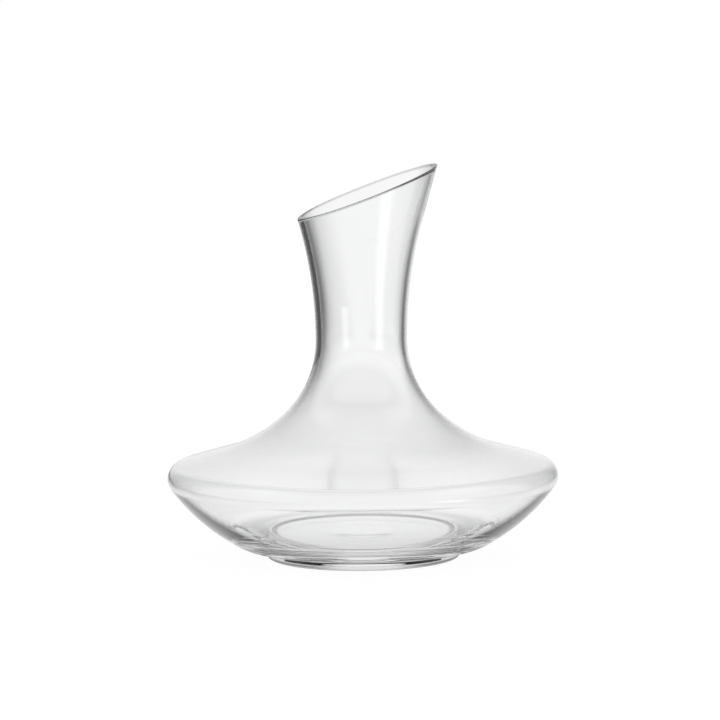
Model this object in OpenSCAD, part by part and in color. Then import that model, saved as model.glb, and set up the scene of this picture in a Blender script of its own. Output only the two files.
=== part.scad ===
// Wine decanter: a blown glass vessel with a slanted mouth, standing on a low foot laid on under it.
// Millimetres. +Z is up, and the origin is the centre of the foot's underside.
// The mouth is highest towards +X and lowest towards -X.

/* [Bowl] */
// Width across the bowl at its widest
bowl_d = 205; // [202:0.5:208]
// Height of the widest level above the table
widest_z = 42.4; // [41.4:0.1:43.4]
// Radius of the rounding below the widest level
edge_below_r = 6.9; // [6:0.1:9]
// Radius of the rounding above the widest level
edge_above_r = 8; // [6:0.1:9]
// Radius of the long curve from the base up to the edge
bowl_r = 106.7; // [98:0.1:118]
// Radius of the bend from the flat underside into the bowl
base_bend_r = 28; // [26:0.1:30]
// Radius of the flat part of the vessel's underside
base_flat_r = 54.5; // [54:0.1:56]

/* [Shoulder and neck] */
// Radius of the curve where the shoulder starts to rise
shoulder_r = 82.6; // [80:0.1:84]
// Radius of the curve from the rise into the waist
throat_r = 55.3; // [53:0.1:56.3]
// Slope at which the one curve takes over from the other, in degrees
throat_slope = 47; // [46:0.1:49]
// Outside width of the neck at the waist
waist_d = 47.8; // [46:0.1:50]
// Height of the waist above the table
waist_z = 115.8; // [115:0.1:118]
// Radius of the curve from the waist towards the mouth
flare_r = 226; // [205:1:250]
// Lean of the straight end of the neck, in degrees from upright
flare_angle = 15.6; // [14:0.1:17]
// Height of the mouth on the axis
mouth_z = 191.6; // [185:0.2:200]
// Slant of the mouth, in degrees
mouth_slant = 20.7; // [0:0.1:25]

/* [Inside] */
// Wall thickness at the waist
neck_wall = 2.8; // [2.4:0.1:3.2]
// Wall thickness at the widest level
edge_wall = 1; // [0.8:0.1:1.4]
// How much more the inside of the mouth leans out than the outside, in degrees
lip_taper = 1; // [0:0.1:1.5]
// Radius of the shoulder's curve inside
inner_shoulder_r = 87.3; // [86:0.1:88]
// Radius of the throat's curve inside
inner_throat_r = 56.4; // [55.5:0.1:58]
// Slope at which the one curve takes over from the other inside, in degrees
inner_throat_slope = 49.8; // [49:0.1:51]
// Height of the floor inside above the table
floor_z = 11.4; // [10.4:0.1:13]
// Radius of the flat part of the floor
floor_flat_r = 60; // [58:0.1:61]
// Radius of the bend from the floor into the wall
floor_bend_r = 27; // [25:0.5:31]
// Radius of the long curve of the wall inside
inner_bowl_r = 100; // [94:0.5:104]
// Height of the low rise in the middle of the floor
rise_h = 1.5; // [0.5:0.1:2.5]
// Radius of the low rise
rise_r = 23; // [18:0.5:35]

/* [Foot] */
// Width across the foot
foot_d = 101.4; // [96:0.2:108]
// Height of the foot
foot_h = 5.2; // [4.4:0.1:6]
// Radius of the foot's rounded lower edge
foot_edge_r = 2.6; // [1.6:0.1:4]

/* [Hidden] */
$fn = 180;

// Room for the slanted cut above the highest point of the mouth
neck_top_z = mouth_z + waist_d;
cut_size = 2 * waist_d + bowl_d;
rise_curve_r = (rise_r * rise_r + rise_h * rise_h) / (4 * rise_h);
rise_curve_angle = 2 * atan(rise_h / rise_r);

function on_circle(c, r, a) = c + r * [cos(a), sin(a)];
function angle_to(from, to) = atan2(to.y - from.y, to.x - from.x);

// Centre of the circle of radius r that two smaller circles touch from inside
function blend_centre(c1, r1, c2, r2, r) =
    let (
        d = norm(c2 - c1),
        along = (pow(r - r1, 2) - pow(r - r2, 2) + d * d) / (2 * d),
        across = sqrt(pow(r - r1, 2) - along * along),
        u = (c2 - c1) / d
    )
    c1 + along * u + across * [-u.y, u.x];

// The sliver between an arc and its chord
module sliver(c, r, a0, a1) {
    reach = 1.5 * r;
    intersection() {
        translate(c)
            circle(r);
        polygon([
            on_circle(c, r, a0),
            on_circle(c, reach, a0),
            on_circle(c, reach, a1),
            on_circle(c, r, a1)
        ]);
    }
}

// Half outline of the vessel's outside, or of its inside, filled to the axis. The edge of the bowl
// and the neck stand edge_in and neck_in inside the outside's.
module half_outline(edge_in, neck_in, bottom_z, flat_r, bend_r, side_r, rise_arc_r, throat_arc_r,
    slope, lean) {
    below_r = edge_below_r - edge_in;
    above_r = edge_above_r - edge_in;
    widest_r = bowl_d / 2 - edge_in;
    waist_r = waist_d / 2 - neck_in;
    flare_arc_r = flare_r + neck_in;

    bend_c = [flat_r, bottom_z + bend_r];
    below_c = [widest_r - below_r, widest_z];
    above_c = [widest_r - above_r, widest_z];
    side_c = blend_centre(bend_c, bend_r, below_c, below_r, side_r);
    throat_c = [waist_r + throat_arc_r, waist_z];
    shoulder_c = on_circle(throat_c, rise_arc_r - throat_arc_r, slope);
    flare_c = [waist_r + flare_arc_r, waist_z];

    side_a0 = angle_to(side_c, bend_c);
    side_a1 = angle_to(side_c, below_c);
    // Direction square to the straight line that joins the edge to the shoulder curve
    square_a = angle_to(above_c, shoulder_c)
        - acos((above_r + rise_arc_r) / norm(shoulder_c - above_c));
    flare_end = on_circle(flare_c, flare_arc_r, 180 - lean);
    neck_end_x = flare_end.x + (neck_top_z - flare_end.y) * tan(lean);

    difference() {
        union() {
            polygon([
                [0, bottom_z],
                [flat_r, bottom_z],
                on_circle(bend_c, bend_r, side_a0),
                on_circle(below_c, below_r, side_a1),
                [widest_r, widest_z],
                on_circle(above_c, above_r, square_a),
                on_circle(shoulder_c, rise_arc_r, 180 + square_a),
                on_circle(throat_c, throat_arc_r, 180 + slope),
                [waist_r, waist_z],
                flare_end,
                [neck_end_x, neck_top_z],
                [0, neck_top_z]
            ]);
            sliver(bend_c, bend_r, -90, side_a0);
            sliver(side_c, side_r, side_a0, side_a1);
            sliver(below_c, below_r, side_a1, 0);
            sliver(above_c, above_r, 0, square_a);
        }
        sliver(shoulder_c, rise_arc_r, 180 + square_a, 180 + slope);
        sliver(throat_c, throat_arc_r, 180 + slope, 180);
        sliver(flare_c, flare_arc_r, 180, 180 - lean);
    }
}

module half_outside() {
    half_outline(
        edge_in = 0,
        neck_in = 0,
        bottom_z = foot_h,
        flat_r = base_flat_r,
        bend_r = base_bend_r,
        side_r = bowl_r,
        rise_arc_r = shoulder_r,
        throat_arc_r = throat_r,
        slope = throat_slope,
        lean = flare_angle
    );
}

module half_inside() {
    difference() {
        half_outline(
            edge_in = edge_wall,
            neck_in = neck_wall,
            bottom_z = floor_z,
            flat_r = floor_flat_r,
            bend_r = floor_bend_r,
            side_r = inner_bowl_r,
            rise_arc_r = inner_shoulder_r,
            throat_arc_r = inner_throat_r,
            slope = inner_throat_slope,
            lean = flare_angle + lip_taper
        );
        half_rise();
    }
}

// Half section of the low rise in the floor: two equal arcs that meet half way up
module half_rise() {
    top_c = [0, floor_z + rise_h - rise_curve_r];
    rim_c = [rise_r, floor_z + rise_curve_r];
    difference() {
        union() {
            polygon([
                [0, floor_z],
                [0, floor_z + rise_h],
                [rise_r / 2, floor_z + rise_h / 2],
                [rise_r, floor_z]
            ]);
            sliver(top_c, rise_curve_r, 90 - rise_curve_angle, 90);
        }
        sliver(rim_c, rise_curve_r, -90 - rise_curve_angle, -90);
    }
}

module slanted_cut() {
    translate([0, 0, mouth_z])
        rotate([0, -mouth_slant, 0])
            translate([-cut_size / 2, -cut_size / 2, 0])
                cube(cut_size);
}

module vessel() {
    color("aliceblue")
        difference() {
            rotate_extrude()
                difference() {
                    half_outside();
                    half_inside();
                }
            slanted_cut();
        }
}

module foot() {
    foot_r = foot_d / 2;
    edge_c = [foot_r - foot_edge_r, foot_edge_r];
    color("lightsteelblue")
        rotate_extrude()
            union() {
                polygon([
                    [0, 0],
                    [edge_c.x, 0],
                    [foot_r, foot_edge_r],
                    [foot_r, foot_h],
                    [0, foot_h]
                ]);
                sliver(edge_c, foot_edge_r, -90, 0);
            }
}

vessel();
foot();
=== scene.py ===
"""Clear glass wine decanter with a slanted mouth, in a pale studio.

The CAD model gives the size and place of every part; the lengths below repeat the curves of
part.scad in millimetres. Blender units are metres, +Z is up and the decanter stands on z = 0.
"""
import math

import bpy
import numpy as np
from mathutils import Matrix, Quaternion, Vector


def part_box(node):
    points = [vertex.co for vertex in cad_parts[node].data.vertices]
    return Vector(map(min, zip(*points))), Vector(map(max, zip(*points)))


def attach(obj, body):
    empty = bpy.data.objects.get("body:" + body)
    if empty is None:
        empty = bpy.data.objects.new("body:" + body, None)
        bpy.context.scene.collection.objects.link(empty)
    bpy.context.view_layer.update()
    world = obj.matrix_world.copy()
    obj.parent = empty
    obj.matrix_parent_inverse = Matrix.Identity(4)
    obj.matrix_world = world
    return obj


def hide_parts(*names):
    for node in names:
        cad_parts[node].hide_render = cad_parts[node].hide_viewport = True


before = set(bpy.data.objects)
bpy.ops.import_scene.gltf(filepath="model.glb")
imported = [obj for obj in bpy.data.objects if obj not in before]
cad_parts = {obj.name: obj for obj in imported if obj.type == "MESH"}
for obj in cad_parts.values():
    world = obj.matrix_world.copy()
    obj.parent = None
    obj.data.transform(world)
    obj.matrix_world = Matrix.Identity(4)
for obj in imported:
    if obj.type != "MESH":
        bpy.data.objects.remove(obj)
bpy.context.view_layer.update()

MM = 0.001

# ---- Sizes taken from the CAD model, in millimetres ----
_, foot_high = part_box("foot")
_, vessel_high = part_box("vessel")
FOOT_R = foot_high.x / MM
FOOT_H = foot_high.z / MM
TOP_Z = vessel_high.z / MM

# ---- Curves of the vessel, in millimetres and degrees ----
BOWL_R = 102.5
WIDEST_Z = 42.4
WAIST_Z = 115.8
MOUTH_Z = 191.6
MOUTH_SLANT = 20.7
EDGE_WALL = 1.0
NECK_WALL = 2.8
LIP_TAPER = 1.0
OUTSIDE = {
    "bottom_z": FOOT_H,
    "flat_r": 54.5,
    "bend_r": 28.0,
    "side_r": 106.7,
    "below_r": 6.9,
    "above_r": 8.0,
    "widest_r": BOWL_R,
    "shoulder_r": 82.6,
    "slope": 47.0,
    "throat_r": 55.3,
    "waist_r": 23.9,
    "flare_r": 226.0,
    "lean": 15.6,
}
INSIDE = {
    "bottom_z": 11.4,
    "flat_r": 60.0,
    "bend_r": 27.0,
    "side_r": 100.0,
    "below_r": OUTSIDE["below_r"] - EDGE_WALL,
    "above_r": OUTSIDE["above_r"] - EDGE_WALL,
    "widest_r": BOWL_R - EDGE_WALL,
    "shoulder_r": 87.3,
    "slope": 49.8,
    "throat_r": 56.4,
    "waist_r": OUTSIDE["waist_r"] - NECK_WALL,
    "flare_r": OUTSIDE["flare_r"] + NECK_WALL,
    "lean": OUTSIDE["lean"] + LIP_TAPER,
}
# The low rise in the middle of the floor
RISE_H = 1.5
RISE_R = 23.0
FOOT_EDGE_R = 2.6
# How far the melted lip is rounded back from each of its corners
LIP_ROUND = 0.9

# ---- Fineness of the meshes: counts of rows, and degrees per step along an arc ----
AROUND = 232
JOINT_ROWS = 8
UNDER_ROWS = 3
STRAIGHT_ROWS = 10
LIP_ROWS = 9
RISE_STEPS = 12
ARC_STEP = 2.0
LONG_ARC_STEP = 1.0
EDGE_STEP = 2.5
FOOT_EDGE_STEP = 5.0
FOOT_SIDE_ROWS = 2
# The flat underside has rings out to nearly this radius
UNDERSIDE_ROWS = 11
UNDERSIDE_R = 42.0
# From this height up, the rows follow the slanted mouth
NECK_FROM_Z = 140.0
NECK_ROWS = 40
# The profiles run on this far above the mouth before they are cut
ABOVE_MOUTH = 20.0
ABOVE_MOUTH_ROWS = 24
# Edges sharper than this, in degrees, are shaded as edges
SHARP_ANGLE = 40.0


# ---------------------------------------------------------------- profiles

def arc(centre, r, a0, a1, step=ARC_STEP):
    """Points on a circle from angle a0 to a1, in degrees."""
    n = max(3, int(math.ceil(abs(a1 - a0) / step)) + 1)
    t = np.radians(np.linspace(a0, a1, n))
    return np.stack([centre[0] + r * np.cos(t), centre[1] + r * np.sin(t)], 1)


def line(p, q, n):
    """Points between p and q, without the ends."""
    t = np.linspace(0, 1, n + 2)[1:-1, None]
    return np.asarray(p) * (1 - t) + np.asarray(q) * t


def on_circle(centre, r, a):
    """The point at angle a on a circle, in degrees."""
    a = math.radians(a)
    return np.array([centre[0] + r * math.cos(a), centre[1] + r * math.sin(a)])


def angle_to(p, q):
    """Direction from p to q, in degrees."""
    return math.degrees(math.atan2(q[1] - p[1], q[0] - p[0]))


def blend_centre(c1, r1, c2, r2, r):
    """Centre of the circle of radius r that two smaller circles touch from inside."""
    d = np.linalg.norm(c2 - c1)
    along = ((r - r1) ** 2 - (r - r2) ** 2 + d * d) / (2 * d)
    across = math.sqrt((r - r1) ** 2 - along * along)
    u = (c2 - c1) / d
    return c1 + along * u + across * np.array([-u[1], u[0]])


def skin(o):
    """The vessel's outline (r, z) from the flat bottom's edge to above the mouth."""
    bend_c = np.array([o["flat_r"], o["bottom_z"] + o["bend_r"]])
    below_c = np.array([o["widest_r"] - o["below_r"], WIDEST_Z])
    above_c = np.array([o["widest_r"] - o["above_r"], WIDEST_Z])
    side_c = blend_centre(bend_c, o["bend_r"], below_c, o["below_r"], o["side_r"])
    throat_c = np.array([o["waist_r"] + o["throat_r"], WAIST_Z])
    shoulder_c = on_circle(throat_c, o["shoulder_r"] - o["throat_r"], o["slope"])
    flare_c = np.array([o["waist_r"] + o["flare_r"], WAIST_Z])
    a0 = angle_to(side_c, bend_c)
    a1 = angle_to(side_c, below_c)
    # Direction square to the straight line from the edge to the shoulder
    reach = np.linalg.norm(shoulder_c - above_c)
    square = angle_to(above_c, shoulder_c)
    square -= math.degrees(math.acos((o["above_r"] + o["shoulder_r"]) / reach))
    crest = arc(above_c, o["above_r"], 0, square, EDGE_STEP)
    shoulder = arc(shoulder_c, o["shoulder_r"], 180 + square, 180 + o["slope"])
    flare = arc(flare_c, o["flare_r"], 180, 180 - o["lean"], LONG_ARC_STEP)
    top_z = TOP_Z + ABOVE_MOUTH
    top_r = flare[-1][0] + (top_z - flare[-1][1]) * math.tan(math.radians(o["lean"]))
    top = np.array([top_r, top_z])
    return np.concatenate([
        arc(bend_c, o["bend_r"], -90, a0),
        arc(side_c, o["side_r"], a0, a1, LONG_ARC_STEP)[1:],
        arc(below_c, o["below_r"], a1, 0, EDGE_STEP)[1:],
        crest[1:],
        line(crest[-1], shoulder[0], STRAIGHT_ROWS),
        shoulder,
        arc(throat_c, o["throat_r"], 180 + o["slope"], 180)[1:],
        flare[1:],
        line(flare[-1], top, ABOVE_MOUTH_ROWS),
        top[None],
    ])


def rise():
    """The low rise in the middle of the floor (r, z), from the axis outwards."""
    curve = (RISE_R ** 2 + RISE_H ** 2) / (4 * RISE_H)
    turn = math.degrees(2 * math.atan(RISE_H / RISE_R))
    top_c = (0.0, INSIDE["bottom_z"] + RISE_H - curve)
    rim_c = (RISE_R, INSIDE["bottom_z"] + curve)
    inner = arc(top_c, curve, 90, 90 - turn, turn / RISE_STEPS)
    outer = arc(rim_c, curve, -90 - turn, -90, turn / RISE_STEPS)
    return np.concatenate([inner, outer[1:]])


# ---------------------------------------------------------------- meshes

def slanted_end(profile, azimuth):
    """Where a profile meets the slanted mouth at this azimuth: the point and its direction."""
    height = MOUTH_Z + profile[:, 0] * math.cos(azimuth) * math.tan(math.radians(MOUTH_SLANT))
    gap = profile[:, 1] - height
    k = int(np.argmax((gap > 0) & (profile[:, 1] > WAIST_Z)))
    f = gap[k - 1] / (gap[k - 1] - gap[k])
    step = profile[k] - profile[k - 1]
    return profile[k - 1] + step * f, step / np.linalg.norm(step)


def rows_up_to(profile, z0, end):
    """Points of a profile above the waist, evenly spaced in height from z0 to the end's height."""
    z = np.linspace(z0, end[1], NECK_ROWS)
    k = int(np.argmax(profile[:, 1] > WAIST_Z))
    return np.stack([np.interp(z, profile[k:, 1], profile[k:, 0]), z], 1)


def rounded(corner, direction_in, direction_out):
    """A corner of the lip's section, rounded off by a curve that both its sides run into."""
    u = np.linspace(0, 1, LIP_ROWS)[:, None]
    start = corner - direction_in * LIP_ROUND
    end = corner + direction_out * LIP_ROUND
    return (1 - u) ** 2 * start + 2 * (1 - u) * u * corner + u ** 2 * end


def joint_rows():
    """The flat joint between foot and vessel (r, z), from the axis outwards."""
    r = np.linspace(0, FOOT_R, JOINT_ROWS + 1)
    return np.stack([r, np.full(len(r), FOOT_H)], 1)


def vessel_columns():
    """One closed section (r, z) per azimuth, from the axis below to the axis above the floor."""
    outside = skin(OUTSIDE)
    inside = skin(INSIDE)
    middle = rise()
    joint = joint_rows()
    under = line(joint[-1], outside[0], UNDER_ROWS)
    floor = line(middle[-1], inside[0], STRAIGHT_ROWS)
    low_out = outside[outside[:, 1] < NECK_FROM_Z]
    low_in = inside[inside[:, 1] < NECK_FROM_Z]
    columns = []
    for i in range(AROUND):
        azimuth = 2 * math.pi * i / AROUND
        out_end, out_dir = slanted_end(outside, azimuth)
        in_end, in_dir = slanted_end(inside, azimuth)
        across = (in_end - out_end) / np.linalg.norm(in_end - out_end)
        up = rows_up_to(outside, NECK_FROM_Z, out_end - out_dir * LIP_ROUND)
        down = rows_up_to(inside, NECK_FROM_Z, in_end - in_dir * LIP_ROUND)[::-1]
        lip_out = rounded(out_end, out_dir, across)
        lip_in = rounded(in_end, across, -in_dir)
        columns.append(np.concatenate([
            joint, under, low_out, up, lip_out[1:], lip_in, down[1:],
            low_in[::-1], floor[::-1], middle[::-1],
        ]))
    return np.array(columns)


def foot_columns():
    """The foot's section, the same at every azimuth, from the axis below to the axis on top."""
    edge = arc((FOOT_R - FOOT_EDGE_R, FOOT_EDGE_R), FOOT_EDGE_R, -90, 0, FOOT_EDGE_STEP)
    underside = np.linspace(0, UNDERSIDE_R, UNDERSIDE_ROWS + 1)[:-1]
    section = np.concatenate([
        np.stack([underside, np.zeros(UNDERSIDE_ROWS)], 1),
        edge,
        line(edge[-1], (FOOT_R, FOOT_H), FOOT_SIDE_ROWS),
        joint_rows()[::-1],
    ])
    return np.repeat(section[None], AROUND, 0)


def lathe_points(columns):
    """The vertices of a lathed mesh. The first and the last row lie on the axis: one point each."""
    around = len(columns)
    azimuth = 2 * np.pi * np.arange(around) / around
    r, z = columns[..., 0], columns[..., 1]
    x = r * np.cos(azimuth)[:, None]
    y = r * np.sin(azimuth)[:, None]
    grid = np.stack([x, y, z], -1) * MM
    ends = [tuple(grid[0, 0]), tuple(grid[0, -1])]
    return ends + [tuple(p) for p in grid[:, 1:-1].reshape(-1, 3)]


def lathe_faces(around, rows):
    """The faces of a lathed mesh, and the ring that each of them lies on."""
    inner = rows - 2

    def at(i, k):
        """Index of the vertex in column i and row k."""
        if k == 0:
            return 0
        if k == rows - 1:
            return 1
        return 2 + (i % around) * inner + k - 1

    faces = []
    ring = []
    for i in range(around):
        for k in range(rows - 1):
            quad = [at(i, k), at(i + 1, k), at(i + 1, k + 1), at(i, k + 1)]
            faces.append(list(dict.fromkeys(quad)))
            ring.append(k)
    return faces, np.array(ring)


def lathe(name, columns, materials, joint_at_end):
    """A closed mesh from one section per azimuth. The first or the last rings lie on the joint
    between foot and vessel, and get the second material."""
    around, rows, _ = columns.shape
    faces, ring = lathe_faces(around, rows)
    mesh = bpy.data.meshes.new(name)
    mesh.from_pydata(lathe_points(columns), [], faces)
    for material in materials:
        mesh.materials.append(material)
    on_joint = ring >= rows - 1 - JOINT_ROWS if joint_at_end else ring < JOINT_ROWS
    mesh.polygons.foreach_set("material_index", on_joint.astype(np.int32))
    mesh.polygons.foreach_set("use_smooth", np.ones(len(faces), bool))
    mesh.update()
    mesh.set_sharp_from_angle(angle=math.radians(SHARP_ANGLE))
    piece = bpy.data.objects.new(name, mesh)
    bpy.context.scene.collection.objects.link(piece)
    return piece


# ---------------------------------------------------------------- materials

GLASS_IOR = 1.52
# Soft waves in the skin: their count per metre, and the height and strength of the bump
WAVE_SCALE = 18.0
WAVE_DETAIL = 1.0
WAVE_HEIGHT = 0.1 * MM
WAVE_STRENGTH = 0.3
# The batch's faint tint varies between these two
TINT_SCALE = 9.0
TINT_DEEP = (0.984, 0.986, 0.989, 1)
TINT_CLEAR = (0.994, 0.995, 0.997, 1)
# The lip, down to LIP_H under the plane of the mouth
LIP_H = 1.4
LIP_ROUGHNESS = 0.25
# The lip's grey colour is painted shade: it darkens the line of the rim, which clear glass would
# show only by refraction
LIP_PAINTED_SHADE = (0.63, 0.63, 0.64, 1)
# Softness of the skin by height: none below SOFT_FROM_Z, a little around the edge of the bowl,
# most on the shoulder, and none again on the neck above SOFT_TO_Z
EDGE_ROUGHNESS = 0.08
SHOULDER_ROUGHNESS = 0.13
SOFT_FROM_Z = 32.0
EDGE_Z = 42.0
EDGE_TO_Z = 47.0
SHOULDER_Z = 60.0
SHOULDER_TO_Z = 92.0
SOFT_TO_Z = 112.0


class Nodes:
    """Shorthand for building one node tree."""

    def __init__(self, tree):
        self.tree = tree

    def add(self, kind, **settings):
        """A new node with these settings."""
        node = self.tree.nodes.new(kind)
        for key, value in settings.items():
            setattr(node, key, value)
        return node

    def join(self, source, target):
        """Links an output to an input, or sets the input to a constant."""
        if isinstance(source, (int, float, tuple)):
            target.default_value = source
        else:
            self.tree.links.new(source, target)

    def math(self, operation, *values):
        """The output of one Math node."""
        node = self.add("ShaderNodeMath", operation=operation)
        for value, socket in zip(values, node.inputs):
            self.join(value, socket)
        return node.outputs[0]

    def ramp(self, value, low, high, to_low, to_high):
        """Smooth change from to_low to to_high as value goes from low to high."""
        node = self.add("ShaderNodeMapRange", interpolation_type="SMOOTHSTEP")
        inputs = [value, low, high, to_low, to_high]
        for source, key in zip(inputs, ("Value", "From Min", "From Max", "To Min", "To Max")):
            self.join(source, node.inputs[key])
        return node.outputs[0]

    def mix(self, factor, a, b):
        """a where factor is 0, b where it is 1."""
        return self.math("ADD", self.math("MULTIPLY", a, self.math("SUBTRACT", 1.0, factor)),
                         self.math("MULTIPLY", b, factor))


def new_material(name):
    """A material, its node tree's shorthand and its shader."""
    material = bpy.data.materials.new(name)
    material.use_nodes = True
    return material, Nodes(material.node_tree), material.node_tree.nodes["Principled BSDF"]


def soft_waves(n, where):
    """Hand-blown unevenness: the normal of a skin with long soft waves all over."""
    waves = n.add("ShaderNodeTexNoise")
    n.join(where, waves.inputs["Vector"])
    waves.inputs["Scale"].default_value = WAVE_SCALE
    waves.inputs["Detail"].default_value = WAVE_DETAIL
    bump = n.add("ShaderNodeBump")
    bump.inputs["Distance"].default_value = WAVE_HEIGHT
    bump.inputs["Strength"].default_value = WAVE_STRENGTH
    n.join(waves.outputs["Fac"], bump.inputs["Height"])
    return bump.outputs["Normal"]


def blend(n, factor, a, b):
    """Colour a where factor is 0, colour b where it is 1."""
    mix = n.add("ShaderNodeMix", data_type="RGBA")
    n.join(factor, mix.inputs["Factor"])
    n.join(a, mix.inputs["A"])
    n.join(b, mix.inputs["B"])
    return mix.outputs["Result"]


def faint_tint(n, where):
    """The batch's faint tint, a little uneven."""
    tint = n.add("ShaderNodeTexNoise")
    n.join(where, tint.inputs["Vector"])
    tint.inputs["Scale"].default_value = TINT_SCALE
    return blend(n, tint.outputs["Fac"], TINT_DEEP, TINT_CLEAR)


def on_lip(n, x, z):
    """1 on the slanted lip, 0 below it."""
    slant = math.tan(math.radians(MOUTH_SLANT))
    over = n.math("SUBTRACT", z, n.math("MULTIPLY", x, slant))
    return n.ramp(over, (MOUTH_Z - LIP_H) * MM, (MOUTH_Z - LIP_H / 2) * MM, 0.0, 1.0)


def softness(n, z):
    """Roughness of the skin by height."""
    edge = n.ramp(z, SOFT_FROM_Z * MM, EDGE_Z * MM, 0.0, EDGE_ROUGHNESS)
    shoulder = n.ramp(z, EDGE_TO_Z * MM, SHOULDER_Z * MM, edge, SHOULDER_ROUGHNESS)
    return n.ramp(z, SHOULDER_TO_Z * MM, SOFT_TO_Z * MM, shoulder, 0.0)


def clear_glass():
    """Blown clear glass with a satin lip, greyed in colour as painted shade along the rim, and a
    slightly softer skin on the shoulder.
    """
    material, n, shader = new_material("clear_glass")
    shader.inputs["IOR"].default_value = GLASS_IOR
    shader.inputs["Transmission Weight"].default_value = 1.0
    shader.distribution = "MULTI_GGX"
    where = n.add("ShaderNodeTexCoord").outputs["Object"]
    place = n.add("ShaderNodeSeparateXYZ")
    n.join(where, place.inputs[0])
    x, _, z = place.outputs
    lip = on_lip(n, x, z)
    satin = n.math("MULTIPLY", lip, LIP_ROUGHNESS)
    n.join(soft_waves(n, where), shader.inputs["Normal"])
    n.join(n.math("MAXIMUM", satin, softness(n, z)), shader.inputs["Roughness"])
    # On the lip the tint gives way to grey, painted shade along the rim's line
    n.join(blend(n, lip, faint_tint(n, where), LIP_PAINTED_SHADE), shader.inputs["Base Color"])
    return material


def fused_joint():
    """Where foot and vessel are melted together, light goes straight on."""
    material, n, shader = new_material("fused_joint")
    n.tree.nodes.remove(shader)
    clear = n.add("ShaderNodeBsdfTransparent")
    n.join(clear.outputs[0], n.tree.nodes["Material Output"].inputs["Surface"])
    return material


# ---------------------------------------------------------------- studio

# The wide panel behind: its brightness, and for each of its ends the angle from straight behind
# where it starts to dim, the angle where it stops, and what is left of it there. The low ends
# are what the far table shows, the high ends what stands above the table.
BACK = 0.95
LOW_LEFT_END = (1.0, 20.0, 0.1)
LOW_RIGHT_END = (10.0, 36.0, 0.2)
HIGH_LEFT_END = (10.0, 34.0, 0.25)
HIGH_RIGHT_END = (6.0, 24.0, 0.3)
# The panels at the sides and the front, by angle from straight behind
SIDE = 0.95
SIDE_FROM = 50.0
SIDE_TO = 75.0
FRONT = 0.85
FRONT_FROM = 100.0
FRONT_TO = 150.0
# The ceiling, by height angle
OVERHEAD = 0.4
HIGH_FROM = 50.0
HIGH_TO = 75.0

# The floor that the eye sees
FLOOR_Z = -0.1 * MM
FLOOR_COLOUR = (0.1, 0.1, 0.1, 1)
FLOOR_LIGHT = 0.95
STAGE_HALF = 12.0

# The table that only the glass sees. Lengths are metres, and distances are from the axis.
TABLE_Z = -0.05 * MM
# Near the decanter it is bright all round; from TABLE_NEAR to TABLE_FAR the panels take over
TABLE_FRONT = 0.9
TABLE_BACK = 0.97
TABLE_NEAR = 0.6
TABLE_FAR = 1.0
# Share of the way behind, y over distance, where front values change into back values
BEHIND_FROM = -0.7
BEHIND_TO = 0.2
# Under the foot it gets brighter from the front to the back, by y
UNDER_FRONT = 0.7
UNDER_BACK = 0.86
UNDER_FROM = -0.04
UNDER_TO = 0.02
# The shadow around the foot begins between FOOT_EDGE_AT and SHADE_FROM. It is as bright as
# CONTACT there and has gone at SHADE_TO.
FOOT_EDGE_AT = 0.045
SHADE_FROM = 0.047
SHADE_TO_FRONT = 0.1
SHADE_TO_BACK = 0.08
CONTACT_FRONT = 0.3
CONTACT_BACK = 0.05
# Towards each side, by x, the near table falls to this share of its brightness
STRIP_LEFT_FROM = 0.14
STRIP_LEFT_TO = 0.34
STRIP_LEFT_DARK = 0.1
STRIP_RIGHT_FROM = 0.14
STRIP_RIGHT_TO = 0.45
STRIP_RIGHT_DARK = 0.25
# A slightly darker band behind the decanter, by y: it takes the share DIP away
DIP = 0.12
DIP_FROM = 0.36
DIP_FULL = 0.5
DIP_LAST = 0.62
DIP_TO = 0.82
# The soft light at the front right, mirrored in the table: what it adds, its angle from straight
# behind and half its width, and how far out it begins and is full
GLOW = 1.8
GLOW_AT = 132.0
GLOW_HALF = 18.0
GLOW_FROM = 0.18
GLOW_FULL = 0.32


def panels(n, x, y, left_end, right_end):
    """Brightness of the studio by direction: a wide panel behind, one on each side, dark gaps
    between them, and a pale front."""
    right = n.math("DEGREES", n.math("ARCTAN2", x, y))
    left = n.math("MULTIPLY", right, -1.0)
    away = n.math("ABSOLUTE", right)
    fall_left = n.ramp(left, left_end[0], left_end[1], 1.0, left_end[2])
    fall_right = n.ramp(right, right_end[0], right_end[1], 1.0, right_end[2])
    back = n.math("MULTIPLY", n.math("MULTIPLY", fall_left, fall_right), BACK)
    side = n.ramp(away, SIDE_FROM, SIDE_TO, 0.0, n.ramp(away, FRONT_FROM, FRONT_TO, SIDE, FRONT))
    return n.math("MAXIMUM", back, side)


def studio_world():
    """White for the eye; the panels and a dimmer ceiling for the glass."""
    world = bpy.data.worlds.new("studio")
    bpy.context.scene.world = world
    world.use_nodes = True
    n = Nodes(world.node_tree)
    direction = n.add("ShaderNodeSeparateXYZ")
    n.join(n.add("ShaderNodeTexCoord").outputs["Generated"], direction.inputs[0])
    x, y, z = direction.outputs
    height = n.math("DEGREES", n.math("ARCSINE", z))
    overhead = n.ramp(height, HIGH_FROM, HIGH_TO, 0.0, 1.0)
    light = n.mix(overhead, panels(n, x, y, HIGH_LEFT_END, HIGH_RIGHT_END), OVERHEAD)
    seen = n.add("ShaderNodeLightPath").outputs["Is Camera Ray"]
    background = world.node_tree.nodes["Background"]
    background.inputs["Color"].default_value = (1, 1, 1, 1)
    n.join(n.math("MAXIMUM", light, seen), background.inputs["Strength"])


def stage_plane(name, z, material):
    """A large level square that isn't part of the object."""
    s = STAGE_HALF
    mesh = bpy.data.meshes.new(name)
    mesh.from_pydata([(-s, -s, 0), (s, -s, 0), (s, s, 0), (-s, s, 0)], [], [(0, 1, 2, 3)])
    mesh.materials.append(material)
    plane = bpy.data.objects.new(name, mesh)
    bpy.context.scene.collection.objects.link(plane)
    plane.location.z = z
    return plane


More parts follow.
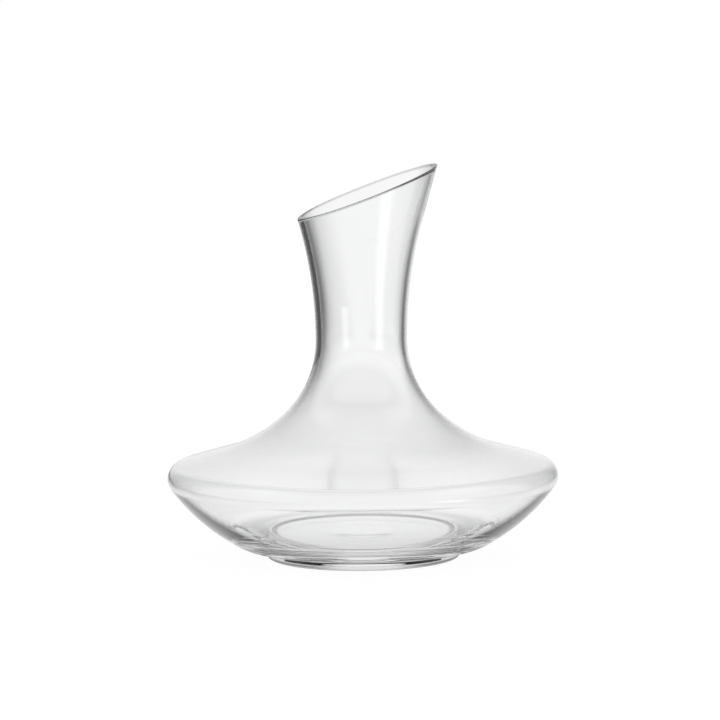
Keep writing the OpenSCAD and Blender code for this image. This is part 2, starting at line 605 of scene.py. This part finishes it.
def pale_floor():
    """The white floor that the eye sees around the decanter."""
    material, _, shader = new_material("floor")
    shader.inputs["Base Color"].default_value = FLOOR_COLOUR
    shader.inputs["Specular IOR Level"].default_value = 0.0
    shader.inputs["Emission Color"].default_value = (1, 1, 1, 1)
    shader.inputs["Emission Strength"].default_value = FLOOR_LIGHT
    floor = stage_plane("floor", FLOOR_Z, material)
    floor.visible_transmission = False
    floor.visible_glossy = False


def near_table(n, x, y, away):
    """Brightness of the table near the decanter, with the shadow around the foot."""
    behind = n.ramp(n.math("DIVIDE", y, away), BEHIND_FROM, BEHIND_TO, 0.0, 1.0)
    open_table = n.mix(behind, TABLE_FRONT, TABLE_BACK)
    shade_to = n.mix(behind, SHADE_TO_FRONT, SHADE_TO_BACK)
    contact = n.mix(behind, CONTACT_FRONT, CONTACT_BACK)
    shade = n.ramp(away, SHADE_FROM, shade_to, contact, open_table)
    under = n.ramp(y, UNDER_FROM, UNDER_TO, UNDER_FRONT, UNDER_BACK)
    near = n.mix(n.ramp(away, FOOT_EDGE_AT, SHADE_FROM, 0.0, 1.0), under, shade)
    left = n.ramp(x, -STRIP_LEFT_TO, -STRIP_LEFT_FROM, STRIP_LEFT_DARK, 1.0)
    right = n.ramp(x, STRIP_RIGHT_FROM, STRIP_RIGHT_TO, 1.0, STRIP_RIGHT_DARK)
    return n.math("MULTIPLY", near, n.math("MINIMUM", left, right))


def mirrored_glow(n, x, y, away):
    """The light at the front right, as the table mirrors it."""
    turn = n.math("DEGREES", n.math("ARCTAN2", x, y))
    off = n.math("ABSOLUTE", n.math("SUBTRACT", turn, GLOW_AT))
    glow = n.ramp(off, 0.0, GLOW_HALF, GLOW, 0.0)
    return n.math("MULTIPLY", glow, n.ramp(away, GLOW_FROM, GLOW_FULL, 0.0, 1.0))


def table_light(n, x, y):
    """Brightness of the table as the glass sees it, at x and y in metres."""
    away = n.math("SQRT", n.math("ADD", n.math("MULTIPLY", x, x), n.math("MULTIPLY", y, y)))
    far = n.ramp(away, TABLE_NEAR, TABLE_FAR, 0.0, 1.0)
    light = n.mix(far, near_table(n, x, y, away), panels(n, x, y, LOW_LEFT_END, LOW_RIGHT_END))
    dip = n.ramp(y, DIP_FROM, DIP_FULL, 0.0, DIP)
    dip = n.math("MULTIPLY", dip, n.ramp(y, DIP_LAST, DIP_TO, 1.0, 0.0))
    light = n.math("MULTIPLY", light, n.math("SUBTRACT", 1.0, dip))
    return n.math("ADD", light, mirrored_glow(n, x, y, away))


def glass_table():
    """The table as only the glass sees it."""
    material, n, shader = new_material("table")
    shader.inputs["Base Color"].default_value = (0, 0, 0, 1)
    shader.inputs["Specular IOR Level"].default_value = 0.0
    shader.inputs["Emission Color"].default_value = (1, 1, 1, 1)
    place = n.add("ShaderNodeSeparateXYZ")
    n.join(n.add("ShaderNodeNewGeometry").outputs["Position"], place.inputs[0])
    x, y, _ = place.outputs
    n.join(table_light(n, x, y), shader.inputs["Emission Strength"])
    table = stage_plane("table", TABLE_Z, material)
    table.visible_camera = False
    table.visible_diffuse = False
    table.visible_shadow = False


# ---------------------------------------------------------------- camera

# Metres and degrees. SENSOR is in millimetres, and SHIFT_X is a share of the picture's width.
CAMERA_DISTANCE = 4.29
CAMERA_HEIGHT_ANGLE = 7.4
CAMERA_TURN = 0.5
CAMERA_ROLL = -0.6
AIM_Z = 0.1042
FRAME_WIDTH_AT_AIM = 0.3769
SENSOR = 36.0
SHIFT_X = -0.0023
CLIP_END = 100


def camera():
    """A long lens almost straight in front, a little above the decanter and slightly rolled."""
    a = math.radians(CAMERA_TURN)
    e = math.radians(CAMERA_HEIGHT_ANGLE)
    back = Vector((math.sin(a) * math.cos(e), -math.cos(a) * math.cos(e), math.sin(e)))
    data = bpy.data.cameras.new("camera")
    data.sensor_width = SENSOR
    data.lens = SENSOR * CAMERA_DISTANCE / FRAME_WIDTH_AT_AIM
    data.shift_x = SHIFT_X
    data.clip_end = CLIP_END
    eye = bpy.data.objects.new("camera", data)
    bpy.context.scene.collection.objects.link(eye)
    eye.location = Vector((0, 0, AIM_Z)) + back * CAMERA_DISTANCE
    eye.rotation_mode = "QUATERNION"
    level = (-back).to_track_quat("-Z", "Y")
    eye.rotation_quaternion = level @ Quaternion((0, 0, 1), math.radians(CAMERA_ROLL))
    bpy.context.scene.camera = eye


# ---------------------------------------------------------------- the object

# Enough for light to leave four curved walls and the base
GLASS_BOUNCES = 64
GLOSSY_BOUNCES = 16

glass = clear_glass()
joint = fused_joint()
vessel = lathe("decanter_vessel", vessel_columns(), [glass, joint], joint_at_end=False)
foot = lathe("decanter_foot", foot_columns(), [glass, joint], joint_at_end=True)
for piece, node in ((vessel, "vessel"), (foot, "foot")):
    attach(piece, "root")
    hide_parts(node)

studio_world()
pale_floor()
glass_table()
camera()

scene = bpy.context.scene
scene.view_settings.view_transform = "Standard"
scene.cycles.max_bounces = GLASS_BOUNCES
scene.cycles.transmission_bounces = GLASS_BOUNCES
scene.cycles.transparent_max_bounces = GLASS_BOUNCES
scene.cycles.glossy_bounces = GLOSSY_BOUNCES
